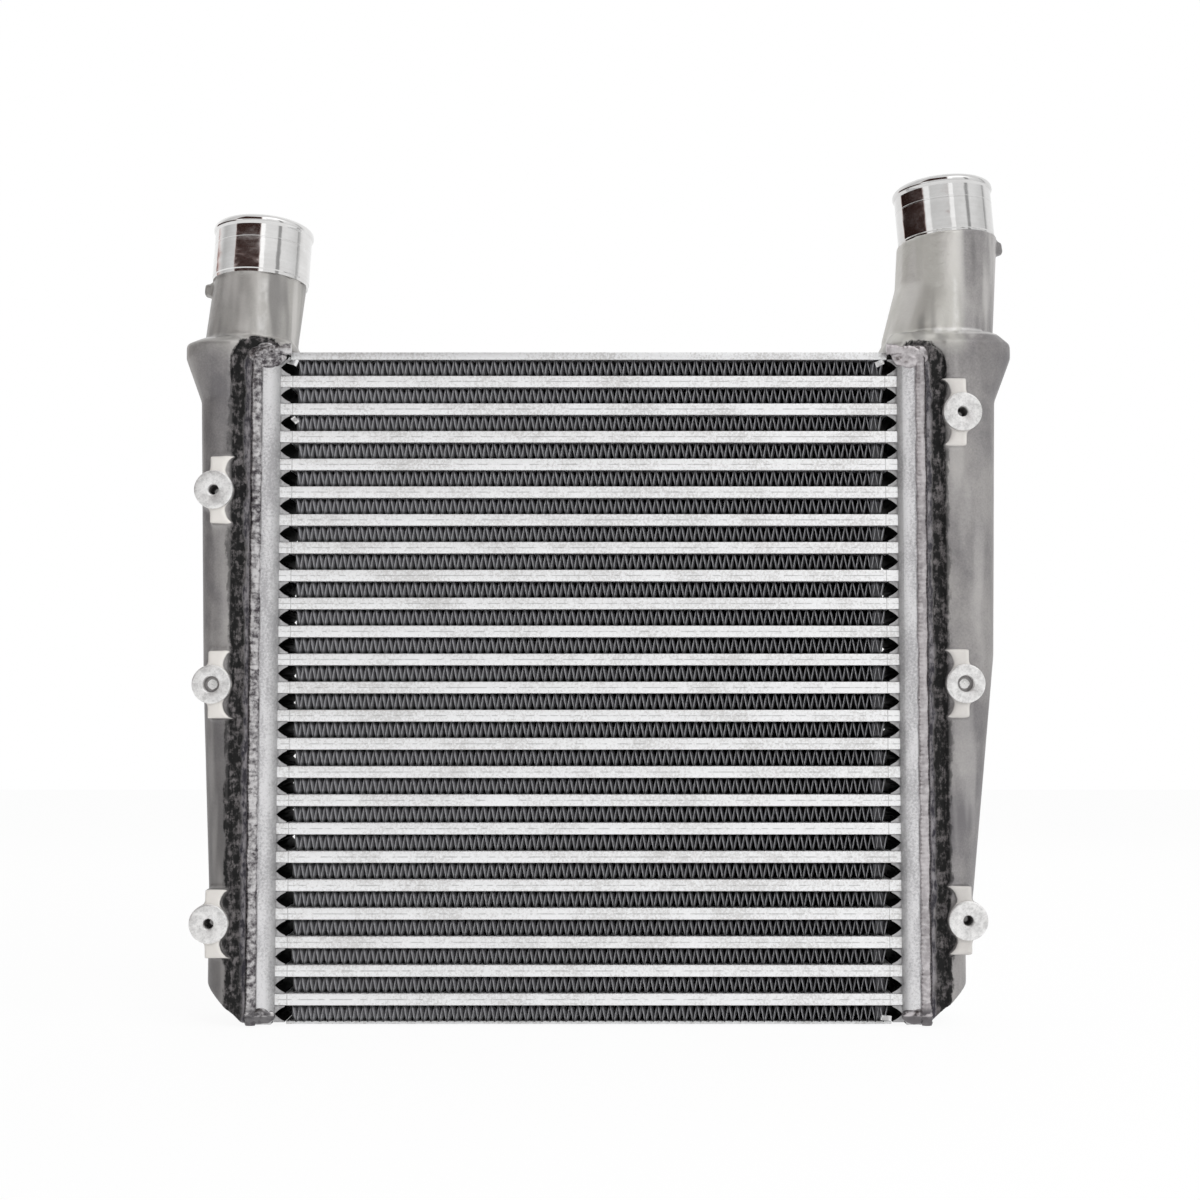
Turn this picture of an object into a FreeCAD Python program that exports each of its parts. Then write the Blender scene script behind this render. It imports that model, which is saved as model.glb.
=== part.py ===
import FreeCAD, Part
import math
import os

# An air-to-air intercooler: flat tubes and folded fins brazed between two header plates,
# with a cast end tank welded to each header plate and a hose spigot on top of each tank.
# Millimetres. +Z is up, -Y is the face with the bosses, +X is to the right of that face.
# The origin is the centre of the underside of the bottom side plate.

# Core
tube_count = 23
tube_height = 7.2
tube_wall = 0.8
fin_height = 10.0
fin_waves = 8
fin_sheet = 0.4
fin_setback = 0.5
fin_end_gap = 10.5
core_depth = 64.0
core_width = 381.0
turbulator_waves = 2
turbulator_sheet = 0.3
turbulator_end_gap = 6.0

# Side plates
bottom_plate_thickness = 2.0
bottom_plate_depth = 52.0
top_plate_thickness = 1.6
top_plate_flange = 4.6

# Header plates
header_thickness = 3.0
header_flange = 13.5
header_corner = 7.0
header_bend = 2.9
pocket_corner = 2.4
header_side_gap = 0.5
header_top_gap = 0.2
collar_reach = 6.0
collar_lip = 0.7
collar_root = 1.0
pocket_flank = 1.6
tube_end_stand = 3.0

# End tanks, shared by both
tank_wall = 4.0
rim_wall = 3.5
land_width = 12.0
land_setback = 0.5
step_run = 3.5
step_rise = 4.5
tank_bottom = 1.6
tank_corner = 20.0
stretch_lap = 3.0
shoulder_over_header = 5.6
shoulder_start = 30.0
shoulder_rise = 27.0
arch_radius = 16.0
canopy_corner = 12.0
canopy_setback = 0.6
canopy_lap = 3.0
canopy_slope = 4.0
ledge_margin = 1.0
spread = 80.0

# Bosses on the front of the tanks
boss_radius = 12.0
boss_face = 45.0
boss_out = 25.0
boss_straight = 25.0
boss_tail = 20.0
boss_tail_radius = 5.0
boss_inner_stub = 18.0
screw_drill_radius = 3.4
screw_hole_depth = 15.0
locating_radius = 5.25
locating_depth = 6.0
rib_half_width = 4.6
rib_half_height = 20.8
rib_below_face = 2.5
rib_flare = 7.5
rib_waist = 12.5
rib_inner = 30.0
rib_sag = 1.0
rib_toward_core = 2.0

# Hose spigots
neck_lift = 1.6
skirt_share = 0.54
skirt_inset = 0.3
spigot_radius = 30.5
spigot_bore = 26.0
bore_step = 0.8
bore_depth = 6.0
spigot_length = 37.0
bead_height = 7.0
bead_proud = 1.1
crown_inset = 2.2
lug_width = 7.0
lug_height = 8.0
lug_proud = 4.5
lug_below = 2.0
lug_root = 0.5
lug_round = 1.5

# Weld beads
weld_half_width = 3.4
weld_root = 1.0
weld_proud = 2.2
weld_crown = 1.4
weld_bend = 9.0
weld_over_core = 1.5

# What differs between the two tanks. A reach is measured outwards from the seam with the
# header plate, a height from the underside, and "from_top" values down from the header top.
left_tank = {
    "lower": [(84.0, 29.3), (210.0, 34.2)],
    "shoulder_reach": 37.4,
    "bulge_reach": 47.2,
    "ledge_reach": 39.6,
    "chamfer_foot": 6.4,
    "chamfer_height": 24.2,
    "canopy_inner": 21.0,
    "arch_top": 9.6,
    "ledge_rise": 5.0,
    "screw_heights": [62.3],
    "screw_from_top": 87.0,
    "locating_height": 206.6,
    "neck_base": 11.2,
    "neck_top": (5.9, 50.6),
    "neck_radius": 29.0,
    "neck_skirt": 0.0,
    "lean_in": 2.5,
    "lean_back": 5.5,
}
right_tank = {
    "lower": [(48.0, 27.2), (80.0, 32.4), (225.0, 46.4)],
    "shoulder_reach": 48.8,
    "bulge_reach": 59.0,
    "ledge_reach": 53.0,
    "chamfer_foot": 2.4,
    "chamfer_height": 24.4,
    "canopy_inner": 19.5,
    "arch_top": 6.2,
    "ledge_rise": 8.0,
    "screw_heights": [64.2],
    "screw_from_top": 39.0,
    "locating_height": 207.0,
    "neck_base": 20.0,
    "neck_top": (24.6, 76.8),
    "neck_radius": 31.4,
    "neck_skirt": 8.0,
    "lean_in": 4.0,
    "lean_back": 3.5,
}

# Places worked out from the sizes above
tube_pitch = tube_height + fin_height
core_bottom = bottom_plate_thickness
core_top = core_bottom + tube_count * tube_pitch + fin_height
header_top = core_top + top_plate_flange + header_top_gap
header_face = core_width / 2
seam = header_face + header_flange
header_half = core_depth / 2 + header_side_gap + header_thickness
collar_face = header_face - collar_reach
tube_end = header_face + header_thickness + tube_end_stand
fin_end = header_face - fin_end_gap
land_half = header_half - land_setback
front_half = land_half + step_rise
ledge_half = spigot_radius + ledge_margin
shoulder_top = header_top + shoulder_over_header
boss_line = seam + boss_out


def at(x, y, z):
    return FreeCAD.Vector(x, y, z)


def box(x0, x1, y0, y1, z0, z1):
    return Part.makeBox(x1 - x0, y1 - y0, z1 - z0, at(x0, y0, z0))


def prism(points, direction):
    outline = Part.makePolygon([at(*p) for p in points] + [at(*points[0])])
    return Part.Face(outline).extrude(direction)


def fillet_edges(solid, radius, wanted):
    edges = [edge for edge in solid.Edges if wanted(edge)]
    return solid.makeFillet(radius, edges)


def along_x(edge):
    ends = edge.Vertexes
    return len(ends) == 2 and abs(abs(ends[1].X - ends[0].X) - edge.Length) < 1e-6


def tube_outer(z):
    return box(-tube_end, tube_end, -core_depth / 2, core_depth / 2, z, z + tube_height)


def tube(z):
    half_bore = core_depth / 2 - tube_wall
    bore = box(-tube_end, tube_end, -half_bore, half_bore, z + tube_wall, z + tube_height - tube_wall)
    return tube_outer(z).cut(bore)


def zigzag(start, end, low, high, waves, sheet):
    # The outline of a folded sheet between two heights, as (run, height) pairs.
    half_wave = (end - start) / (2 * waves)
    slope = math.atan2(high - low, half_wave)
    drop = sheet / math.cos(slope)
    upper = []
    for i in range(2 * waves + 1):
        height = high if i % 2 else low + drop
        upper.append((start + i * half_wave, height))
    lower = [(run, height - drop) for run, height in reversed(upper)]
    return upper + lower


def fin(z):
    half = core_depth / 2 - fin_setback
    outline = zigzag(-fin_end, fin_end, z, z + fin_height, fin_waves, fin_sheet)
    points = [(x, -half, height) for x, height in outline]
    return prism(points, at(0, 2 * half, 0))


def turbulator(z):
    half = core_depth / 2 - tube_wall - turbulator_sheet
    low = z + tube_wall
    high = z + tube_height - tube_wall
    reach = tube_end - turbulator_end_gap
    outline = zigzag(-half, half, low, high, turbulator_waves, turbulator_sheet)
    points = [(-reach, y, height) for y, height in outline]
    return prism(points, at(2 * reach, 0, 0))


def bottom_side_plate():
    half = bottom_plate_depth / 2
    return box(-collar_face, collar_face, -half, half, 0, bottom_plate_thickness)


def top_side_plate():
    half = core_depth / 2
    inner = half - top_plate_thickness
    block = box(-collar_face, collar_face, -half, half, core_top, core_top + top_plate_flange)
    floor = core_top + top_plate_thickness
    return block.cut(box(-collar_face, collar_face, -inner, inner, floor, core_top + top_plate_flange))


def collar_block():
    # The drawn collars that grip the tubes, with a pointed pocket between each pair.
    root = header_face + collar_root
    here = at(collar_face, 0, core_bottom)
    edges = [Part.makeLine(at(root, 0, core_bottom), here)]
    for i in range(tube_count + 1):
        low = core_bottom + i * tube_pitch + collar_lip
        high = low + fin_height - 2 * collar_lip
        middle = (low + high) / 2
        bend_x = (collar_face + header_face) / 2
        mouth = at(collar_face, 0, low)
        tip = at(header_face, 0, middle)
        top = at(collar_face, 0, high)
        edges.append(Part.makeLine(here, mouth))
        edges.append(Part.Arc(mouth, at(bend_x, 0, low + pocket_flank), tip).toShape())
        edges.append(Part.Arc(tip, at(bend_x, 0, high - pocket_flank), top).toShape())
        here = top
    edges.append(Part.makeLine(here, at(collar_face, 0, core_top)))
    edges.append(Part.makeLine(at(collar_face, 0, core_top), at(root, 0, core_top)))
    edges.append(Part.makeLine(at(root, 0, core_top), at(root, 0, core_bottom)))
    face = Part.Face(Part.Wire(edges))
    block = face.extrude(at(0, core_depth, 0))
    block.translate(at(0, -core_depth / 2, 0))
    return block


def header_plate():
    shell = box(header_face, seam, -header_half, header_half, 0, header_top)
    shell = fillet_edges(shell, header_corner, along_x)
    shell = shell.makeChamfer(header_bend, [edge for edge in shell.Edges if on_core_side(edge)])
    inner = header_half - header_thickness
    floor = header_face + header_thickness
    pocket = box(floor, seam, -inner, inner, header_thickness, header_top - header_thickness)
    corners = [edge for edge in pocket.Edges if along_x(edge)]
    pocket = pocket.makeChamfer(pocket_corner, corners)
    plate = shell.cut(pocket).fuse(collar_block())
    slots = [tube_outer(tube_floor(i)) for i in range(tube_count)]
    return plate.cut(Part.makeCompound(slots)).removeSplitter()


def on_core_side(edge):
    return all(abs(v.X - header_face) < 1e-6 for v in edge.Vertexes)


def tube_floor(i):
    return core_bottom + fin_height + i * tube_pitch


def tank_outline(root, out, half, corner):
    # A level cut through a tank: straight front and back, and two round outer corners.
    turn = corner * (1 - math.sqrt(0.5))
    start = out - corner
    bend = out - turn
    edges = [
        Part.makeLine(at(root, half, 0), at(root, -half, 0)),
        Part.makeLine(at(root, -half, 0), at(start, -half, 0)),
        Part.Arc(at(start, -half, 0), at(bend, turn - half, 0), at(out, corner - half, 0)).toShape(),
        Part.makeLine(at(out, corner - half, 0), at(out, half - corner, 0)),
        Part.Arc(at(out, half - corner, 0), at(bend, half - turn, 0), at(start, half, 0)).toShape(),
        Part.makeLine(at(start, half, 0), at(root, half, 0)),
    ]
    return Part.Wire(edges)


def tank_kinks(spec, inset):
    # The tank's outside from foot to shoulder in the front view, as (x, z) pairs.
    lower = spec["lower"]
    rise = header_top - shoulder_start
    levels = [(tank_bottom + inset, lower[0][1])] + lower + [
        (rise, spec["shoulder_reach"]),
        (rise + shoulder_rise, spec["bulge_reach"]),
        (shoulder_top - inset / 2, spec["bulge_reach"]),
    ]
    return [(seam + reach - inset, z) for z, reach in levels]


def slant(kinks, i):
    # How far stretch i of the tank's outside leans outwards, as an angle from upright.
    if i < 0 or i > len(kinks) - 2:
        return 0.0
    return math.atan2(kinks[i + 1][0] - kinks[i][0], kinks[i + 1][1] - kinks[i][1])


def stretch(kinks, i, half, corner):
    # The round outer side of one stretch, cut at half the angle to the ones above and below.
    lean = slant(kinks, i)
    low_cut = (slant(kinks, i - 1) + lean) / 2 if i else 0.0
    high_cut = (slant(kinks, i + 1) + lean) / 2 if i < len(kinks) - 2 else 0.0
    x0, z0 = kinks[i]
    x1, z1 = kinks[i + 1]
    root = -corner - 2 * stretch_lap
    bar = Part.Face(tank_outline(root, 0, half, corner))
    bar = bar.extrude(at(0, 0, math.hypot(x1 - x0, z1 - z0) + 2 * spread))
    bar.translate(at(0, 0, -spread))
    bar.rotate(at(0, 0, 0), at(0, 1, 0), math.degrees(lean))
    bar.translate(at(x0, 0, z0))
    outline = [
        (x0 + root, -half, z0 - root * math.tan(low_cut)),
        (x0 + spread, -half, z0 - spread * math.tan(low_cut)),
        (x1 + spread, -half, z1 - spread * math.tan(high_cut)),
        (x1 + root, -half, z1 - root * math.tan(high_cut)),
    ]
    return bar.common(prism(outline, at(0, 2 * half, 0)))


def tank_body(spec, inset):
    # Outside of the tank when inset is nought, its hollow when inset is the wall.
    half = front_half - inset
    corner = tank_corner - inset
    rim = seam - inset
    kinks = tank_kinks(spec, inset)
    ledge_z = shoulder_top + spec["ledge_rise"] - inset
    cap_foot = tank_outline(rim, kinks[-1][0], half, corner)
    cap_foot.translate(at(0, 0, kinks[-1][1]))
    cap_top = tank_outline(rim, seam + spec["ledge_reach"] - inset, ledge_half - inset, corner)
    cap_top.translate(at(0, 0, ledge_z))
    flat = [(x - corner - stretch_lap, -half, z) for x, z in kinks]
    body = prism([(rim, -half, kinks[0][1])] + flat + [(rim, -half, kinks[-1][1])], at(0, 2 * half, 0))
    for i in range(len(kinks) - 1):
        body = body.fuse(stretch(kinks, i, half, corner))
    body = body.fuse(Part.makeLoft([cap_foot, cap_top], True, True))
    for side in (-1, 1):
        body = body.cut(land_cut(side, inset, ledge_z + 1))
    return body.cut(corner_wedge(spec, inset))


def land_cut(side, inset, top):
    # What the flat weld land and the step up to the tank's front leave out.
    land = side * (land_half - (rim_wall if inset else 0))
    half = side * (front_half - inset)
    beyond = side * (front_half + 1)
    step = seam + land_width + inset / 2
    outline = [
        (seam - inset - 1, land, 0),
        (step, land, 0),
        (step + step_run, half, 0),
        (step + step_run, beyond, 0),
        (seam - inset - 1, beyond, 0),
    ]
    return prism(outline, at(0, 0, top))


def corner_wedge(spec, inset):
    # What the sloping lower corner of the tank leaves out.
    foot = seam + spec["chamfer_foot"]
    out = seam + spec["lower"][0][1]
    rise = spec["chamfer_height"] - tank_bottom
    run = out - foot
    slope_length = math.hypot(rise, run)
    shift = inset * slope_length / run
    z0 = tank_bottom + shift
    outline = [
        (foot, 0, z0),
        (foot + 2 * run, 0, z0 + 2 * rise),
        (foot + 2 * run, 0, z0 - 2 * rise),
        (foot - 2 * run, 0, z0 - 2 * rise),
    ]
    wedge = prism(outline, at(0, 2 * front_half, 0))
    wedge.translate(at(0, -front_half, 0))
    return wedge


def rounded_rectangle(x0, x1, half, radius, z):
    block = box(x0, x1, -half, half, z, z + 1)
    block = block.makeFillet(radius, [e for e in block.Edges if is_upright(e) and e.Vertexes[0].X < x0 + 1])
    floor = [f for f in block.Faces if abs(f.CenterOfMass.z - z) < 1e-6][0]
    return floor.OuterWire


def is_upright(edge):
    ends = edge.Vertexes
    return len(ends) == 2 and abs(abs(ends[1].Z - ends[0].Z) - edge.Length) < 1e-6


def canopy(spec):
    # The part of the tank's head that reaches over the header plate to the core.
    inner = seam - spec["canopy_inner"]
    outer = seam + land_width + step_run + canopy_lap
    top = shoulder_top + spec["ledge_rise"] - canopy_setback
    half = front_half - canopy_setback
    top_half = ledge_half - canopy_setback
    sections = [
        rounded_rectangle(inner, outer, half, canopy_corner, header_top),
        rounded_rectangle(inner, outer, half, canopy_corner, shoulder_top - canopy_setback),
        rounded_rectangle(inner + canopy_slope, outer, top_half, canopy_corner, top),
    ]
    return Part.makeLoft(sections, True, True)


def arch_pocket(spec, side):
    # The weld land seen from the front: an arch over the top of the header plate.
    centre_z = header_top + spec["arch_top"] - arch_radius
    middle = seam
    depth = front_half
    near = land_half * side
    disc = Part.makeCylinder(arch_radius, depth, at(middle, near, centre_z), at(0, side, 0))
    low = header_top - shoulder_start
    y0 = min(near, near + side * depth)
    shaft = box(middle - 2 * arch_radius, middle + arch_radius, y0, y0 + depth, low, centre_z)
    return disc.fuse(shaft)


def neck_placement(spec):
    offset, height = spec["neck_top"]
    lean_in = math.radians(spec["lean_in"])
    lean_back = math.radians(spec["lean_back"])
    direction = at(-math.tan(lean_in), math.tan(lean_back), 1.0)
    base_z = shoulder_top
    foot = at(seam + offset, 0, header_top + height)
    foot.y = (foot.z - base_z) * math.tan(lean_back)
    return FreeCAD.Placement(foot, FreeCAD.Rotation(at(0, 0, 1), direction))


def neck(spec, inset, start, end):
    # The cast neck between the tank's head and the machined spigot, cut level with the spigot.
    base = at(seam + spec["neck_base"], 0, header_top + tank_wall)
    place = neck_placement(spec)
    axis = place.Base - base
    foot = base + axis * (start / axis.Length)
    pipe = Part.makeCylinder(spec["neck_radius"] - inset, axis.Length + spread, foot, axis)
    above = box(-spread, spread, -spread, spread, -end, 2 * spread)
    above.Placement = place
    return pipe.cut(above)


def neck_skirt(spec):
    # A steeper pipe inside the neck's foot, which widens it towards the core.
    foot = at(seam + spec["neck_base"], 0, header_top + tank_wall)
    top = foot + (neck_placement(spec).Base - foot) * skirt_share
    low = foot - at(spec["neck_skirt"], 0, 0)
    axis = top - low
    pipe = Part.makeCylinder(spec["neck_radius"] - skirt_inset, axis.Length, low, axis)
    return pipe.cut(box(header_face - spread, seam + 2 * spread, -spread, spread, 0, header_top + neck_lift))


def spigot(spec):
    crest = spigot_radius + bead_proud
    straight = spigot_length - bead_height
    crown = crown_inset + bead_proud
    crown_foot = spigot_length - crown
    edges = [
        Part.makeLine(at(0, 0, 0), at(spigot_radius, 0, 0)),
        Part.makeLine(at(spigot_radius, 0, 0), at(spigot_radius, 0, straight)),
        Part.makeLine(at(spigot_radius, 0, straight), at(crest, 0, straight + bead_proud)),
        Part.makeLine(at(crest, 0, straight + bead_proud), at(crest, 0, crown_foot)),
        Part.makeLine(at(crest, 0, crown_foot), at(crest - crown, 0, spigot_length)),
        Part.makeLine(at(crest - crown, 0, spigot_length), at(0, 0, spigot_length)),
        Part.makeLine(at(0, 0, spigot_length), at(0, 0, 0)),
    ]
    solid = Part.Face(Part.Wire(edges)).revolve(at(0, 0, 0), at(0, 0, 1), 360)
    lug = box(spigot_bore + lug_root, spigot_radius + lug_proud, -lug_width / 2, lug_width / 2,
              -lug_below - lug_height, -lug_below)
    lug = fillet_edges(lug, lug_round, lambda e: min(v.X for v in e.Vertexes) > spigot_radius)
    both = solid.fuse(lug)
    both.Placement = neck_placement(spec)
    return both


def spigot_hollow(spec):
    hollow = Part.makeCylinder(spigot_bore, spigot_length + 2 * bore_depth, at(0, 0, -bore_depth))
    hollow.Placement = neck_placement(spec)
    return hollow


def boss_blank(z):
    outline = [
        (boss_line, -boss_face, z),
        (boss_line + boss_radius, -boss_face, z),
        (boss_line + boss_radius, -boss_face + boss_straight, z),
        (boss_line + boss_tail_radius, -boss_face + boss_straight + boss_tail, z),
        (boss_line, -boss_face + boss_straight + boss_tail, z),
    ]
    face = Part.Face(Part.makePolygon([at(*p) for p in outline] + [at(*outline[0])]))
    return face.revolve(at(boss_line, 0, z), at(0, 1, 0), 360)


def rib(z):
    # The web through a boss, flared towards the core at both ends.
    x = boss_line - rib_toward_core
    near = x - rib_half_width
    far = x + rib_half_width
    y = -boss_face + rib_below_face
    top = z + rib_half_height
    low = z - rib_half_height
    tip = near - rib_flare
    bend = near - rib_flare / 4
    bend_z = (rib_waist + rib_half_height) / 2 + rib_sag
    edges = [
        Part.makeLine(at(far, y, low), at(far, y, top)),
        Part.makeLine(at(far, y, top), at(tip, y, top)),
        Part.Arc(at(tip, y, top), at(bend, y, z + bend_z), at(near, y, z + rib_waist)).toShape(),
        Part.makeLine(at(near, y, z + rib_waist), at(near, y, z - rib_waist)),
        Part.Arc(at(near, y, z - rib_waist), at(bend, y, z - bend_z), at(tip, y, low)).toShape(),
        Part.makeLine(at(tip, y, low), at(far, y, low)),
    ]
    return Part.Face(Part.Wire(edges)).extrude(at(0, -y - rib_inner + step_rise, 0))


def drilled(z, radius, depth):
    return Part.makeCylinder(radius, depth, at(boss_line, -boss_face, z), at(0, 1, 0))


def boss_heights(spec):
    screws = spec["screw_heights"] + [header_top - spec["screw_from_top"]]
    return screws, spec["locating_height"]


def tank(spec):
    screws, locating = boss_heights(spec)
    outside = tank_body(spec, 0.0).fuse(canopy(spec))
    for side in (-1, 1):
        outside = outside.cut(arch_pocket(spec, side))
    outside = outside.fuse(neck(spec, 0.0, neck_lift, 0.0))
    if spec["neck_skirt"]:
        outside = outside.fuse(neck_skirt(spec))
    outside = outside.fuse(spigot(spec))
    hollow = tank_body(spec, tank_wall).fuse(neck(spec, tank_wall, 0.0, bore_depth - bore_step))
    hollow = hollow.fuse(spigot_hollow(spec))
    casting = outside.cut(hollow)
    far = seam + 2 * spec["bulge_reach"]
    behind = hollow.common(box(0, far, -boss_face + boss_inner_stub, front_half, 0, 2 * header_top))
    for z in screws + [locating]:
        casting = casting.fuse(boss_blank(z).cut(behind)).fuse(rib(z).cut(hollow))
    for z in screws:
        casting = casting.cut(drilled(z, screw_drill_radius, screw_hole_depth))
    casting = casting.cut(drilled(locating, locating_radius, locating_depth))
    return casting.removeSplitter()


def weld_face(y):
    # The bead seen from the front: up the seam, over the header plate, along to the core.
    x = seam
    w = weld_half_width
    r = weld_bend
    top = header_top
    inner = collar_face - weld_over_core
    s = math.sqrt(0.5)
    outer_mid = at(x - r + (r + w) * s, y, top - r + (r + w) * s)
    inner_mid = at(x - r + (r - w) * s, y, top - r + (r - w) * s)
    edges = [
        Part.makeLine(at(x + w, y, 0), at(x + w, y, top - r)),
        Part.Arc(at(x + w, y, top - r), outer_mid, at(x - r, y, top + w)).toShape(),
        Part.makeLine(at(x - r, y, top + w), at(inner, y, top + w)),
        Part.makeLine(at(inner, y, top + w), at(inner, y, top - w)),
        Part.makeLine(at(inner, y, top - w), at(x - r, y, top - w)),
        Part.Arc(at(x - r, y, top - w), inner_mid, at(x - w, y, top - r)).toShape(),
        Part.makeLine(at(x - w, y, top - r), at(x - w, y, 0)),
        Part.makeLine(at(x - w, y, 0), at(x + w, y, 0)),
    ]
    return Part.Face(Part.Wire(edges))


def weld_band(side):
    y0 = side * (header_half - weld_root)
    y1 = side * (header_half + weld_proud)
    band = weld_face(y0).extrude(at(0, y1 - y0, 0))
    front = [e for e in band.Edges if all(abs(v.Y - y1) < 1e-6 for v in e.Vertexes)]
    crowned = [e for e in front if not is_end_of_bead(e)]
    return band.makeChamfer(weld_crown, crowned)


def is_end_of_bead(edge):
    # The flat ends of the bead: at the foot of the seam and above the core.
    xs = [v.X for v in edge.Vertexes]
    return max(v.Z for v in edge.Vertexes) < tank_bottom or max(xs) < collar_face


def weld(neighbours):
    # The bead outside the seam, with what lies in the metal or inside the tank taken away.
    w = weld_half_width
    reach = header_half + weld_proud - weld_crown
    inner = collar_face - weld_over_core
    over = box(inner - w / 2, inner + w / 2, -reach, reach, header_top - w, header_top + w)
    under = box(seam - w, seam + w, -header_half, header_half, 0, header_thickness)
    bead = weld_band(-1).fuse(weld_band(1)).fuse(over).fuse(under)
    rim = land_half - rim_wall
    inside = box(header_face, seam + land_width, -rim, rim, header_thickness, header_top)
    for piece in neighbours + [inside]:
        bead = bead.cut(piece)
    return bead.removeSplitter()


def mirrored(solid):
    return solid.mirror(at(0, 0, 0), at(1, 0, 0))


def save(name, shape):
    shape.exportStep("parts/" + name + ".step")


def main():
    os.makedirs("parts", exist_ok=True)
    for i in range(tube_count):
        save("tube_%02d" % (i + 1), tube(tube_floor(i)))
    for i in range(tube_count + 1):
        save("fin_%02d" % (i + 1), fin(core_bottom + i * tube_pitch))
    strips = [turbulator(tube_floor(i)) for i in range(tube_count)]
    save("tube_turbulators", Part.makeCompound(strips))
    save("bottom_side_plate", bottom_side_plate())
    top = top_side_plate()
    save("top_side_plate", top)
    header = header_plate()
    save("right_header_plate", header)
    save("left_header_plate", mirrored(header))
    right = tank(right_tank)
    left = tank(left_tank)
    save("right_tank", right)
    save("left_tank", mirrored(left))
    save("right_weld", weld([header, right, top]))
    save("left_weld", mirrored(weld([header, left, top])))


main()
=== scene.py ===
import math

import bmesh
import bpy
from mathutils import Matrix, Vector


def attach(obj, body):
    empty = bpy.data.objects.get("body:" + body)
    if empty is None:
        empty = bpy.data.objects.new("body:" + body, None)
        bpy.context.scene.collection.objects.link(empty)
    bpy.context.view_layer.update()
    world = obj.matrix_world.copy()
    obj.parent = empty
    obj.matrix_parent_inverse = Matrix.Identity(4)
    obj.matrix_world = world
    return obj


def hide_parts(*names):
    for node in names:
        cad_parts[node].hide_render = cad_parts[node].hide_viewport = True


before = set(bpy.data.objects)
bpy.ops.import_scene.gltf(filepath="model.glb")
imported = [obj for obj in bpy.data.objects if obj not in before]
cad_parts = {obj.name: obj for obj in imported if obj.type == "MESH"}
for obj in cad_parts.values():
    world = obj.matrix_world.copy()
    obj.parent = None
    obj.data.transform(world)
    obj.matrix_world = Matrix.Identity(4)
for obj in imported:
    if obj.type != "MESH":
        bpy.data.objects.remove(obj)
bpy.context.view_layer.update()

# Sizes in metres, the same ones that the solids are made from
tube_count = 23
tube_height = 0.0072
fin_height = 0.010
tube_pitch = tube_height + fin_height
tube_wall = 0.0008
core_bottom = 0.002
core_half_depth = 0.032
tube_end = 0.1965
seam = 0.204
header_top = 0.4124
header_half = 0.0355
boss_line = 0.229
boss_face = -0.045
boss_heights = {
    "left": [(0.0623, "screw"), (0.2066, "peg"), (0.3254, "screw")],
    "right": [(0.0642, "screw"), (0.2070, "peg"), (0.3734, "screw")],
}
spigot_radius = 0.0305
spigot_bore = 0.026
spigot_feet = {"left": Vector((-0.2099, 0.00433, 0.4630)), "right": Vector((0.2286, 0.00436, 0.4892))}
# How far each spigot leans in to the core and back, in degrees, and the side that it stands on
spigot_leans = {"left": (2.5, 5.5, -1), "right": (4.0, 3.5, 1)}

# The weld bead's middle line, and the puddles of weld at the header plates' corners: how far out,
# how high, half sizes, and the share of the height that is left over the core
bead_line = seam + 0.0005
puddle_line = 0.0345
puddles = {
    "top": (0.1984, 0.4095, (0.0140, 0.0040, 0.0112), 0.7),
    "foot": (0.1990, 0.0062, (0.0110, 0.0042, 0.0060), 0.9),
}
# Where the welding left its marks on each tank, and its painted light: the height that the soot turns
# round, how far out from the bead the skin is grey and then black, how much lighter the necks are all over
# and towards the core, how much darker the low end is, the heights of the painted highlight along the ledge
# (ridge), the place across the neck of the painted highlight streaks and how pale the ribs' front faces are
marks_and_painted_light = {
    "left": {"corner": 0.4060, "grey_to": 0.0070, "black_to": 0.0168, "neck_lightening": (0.38, 0.0), "low_darkening": 0.62,
             "ridge": (0.4205, 0.4232), "highlight_band": (0.2008, 0.2062), "pale": 0.85},
    "right": {"corner": 0.4026, "grey_to": 0.0070, "black_to": 0.0165, "neck_lightening": (0.0, 0.85), "low_darkening": 0.0,
              "ridge": (0.4238, 0.4280), "highlight_band": (0.2262, 0.2292), "pale": 0.50},
}
# Painted light and shade: the same polished metal, lighter on the left spigot and darker on the right.
spigot_painted_level = {"left": 0.80, "right": 0.72}
# Bent fin ends that stand out of their rows: where, how long and high, and which way they are turned
curls = [
    ((-0.1834, -0.0315, 0.4065), (0.0066, 0.0042), (82, 25, 8)),
    ((-0.1815, -0.0318, 0.3700), (0.0048, 0.0030), (80, 50, 0)),
    ((0.1800, -0.0316, 0.4055), (0.0052, 0.0034), (84, -20, 0)),
    ((0.1805, -0.0318, 0.0045), (0.0062, 0.0030), (75, 8, 0)),
]


# Helpers for modelling by hand

def clear_selection():
    if bpy.context.mode != "OBJECT":
        bpy.ops.object.mode_set(mode="OBJECT")
    bpy.ops.object.select_all(action="DESELECT")


def take(piece):
    clear_selection()
    piece.select_set(True)
    bpy.context.view_layer.objects.active = piece


def start_edit(piece):
    take(piece)
    bpy.ops.object.mode_set(mode="EDIT")
    bpy.ops.mesh.select_mode(type="VERT")
    bpy.ops.mesh.select_all(action="DESELECT")


def end_edit():
    bpy.ops.object.mode_set(mode="OBJECT")


def pick_edges(piece, wanted):
    shape = bmesh.from_edit_mesh(piece.data)
    bpy.ops.mesh.select_mode(type="EDGE")
    bpy.ops.mesh.select_all(action="DESELECT")
    for edge in shape.edges:
        edge.select_set(wanted(edge.verts[0].co, edge.verts[1].co))
    bmesh.update_edit_mesh(piece.data)


def pick_faces(piece, wanted):
    shape = bmesh.from_edit_mesh(piece.data)
    shape.normal_update()
    bpy.ops.mesh.select_mode(type="FACE")
    bpy.ops.mesh.select_all(action="DESELECT")
    for face in shape.faces:
        face.select_set(wanted(face.calc_center_median(), face.normal))
    bmesh.update_edit_mesh(piece.data)


def settle(piece):
    take(piece)
    bpy.ops.object.transform_apply(location=True, rotation=True, scale=True)


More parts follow.
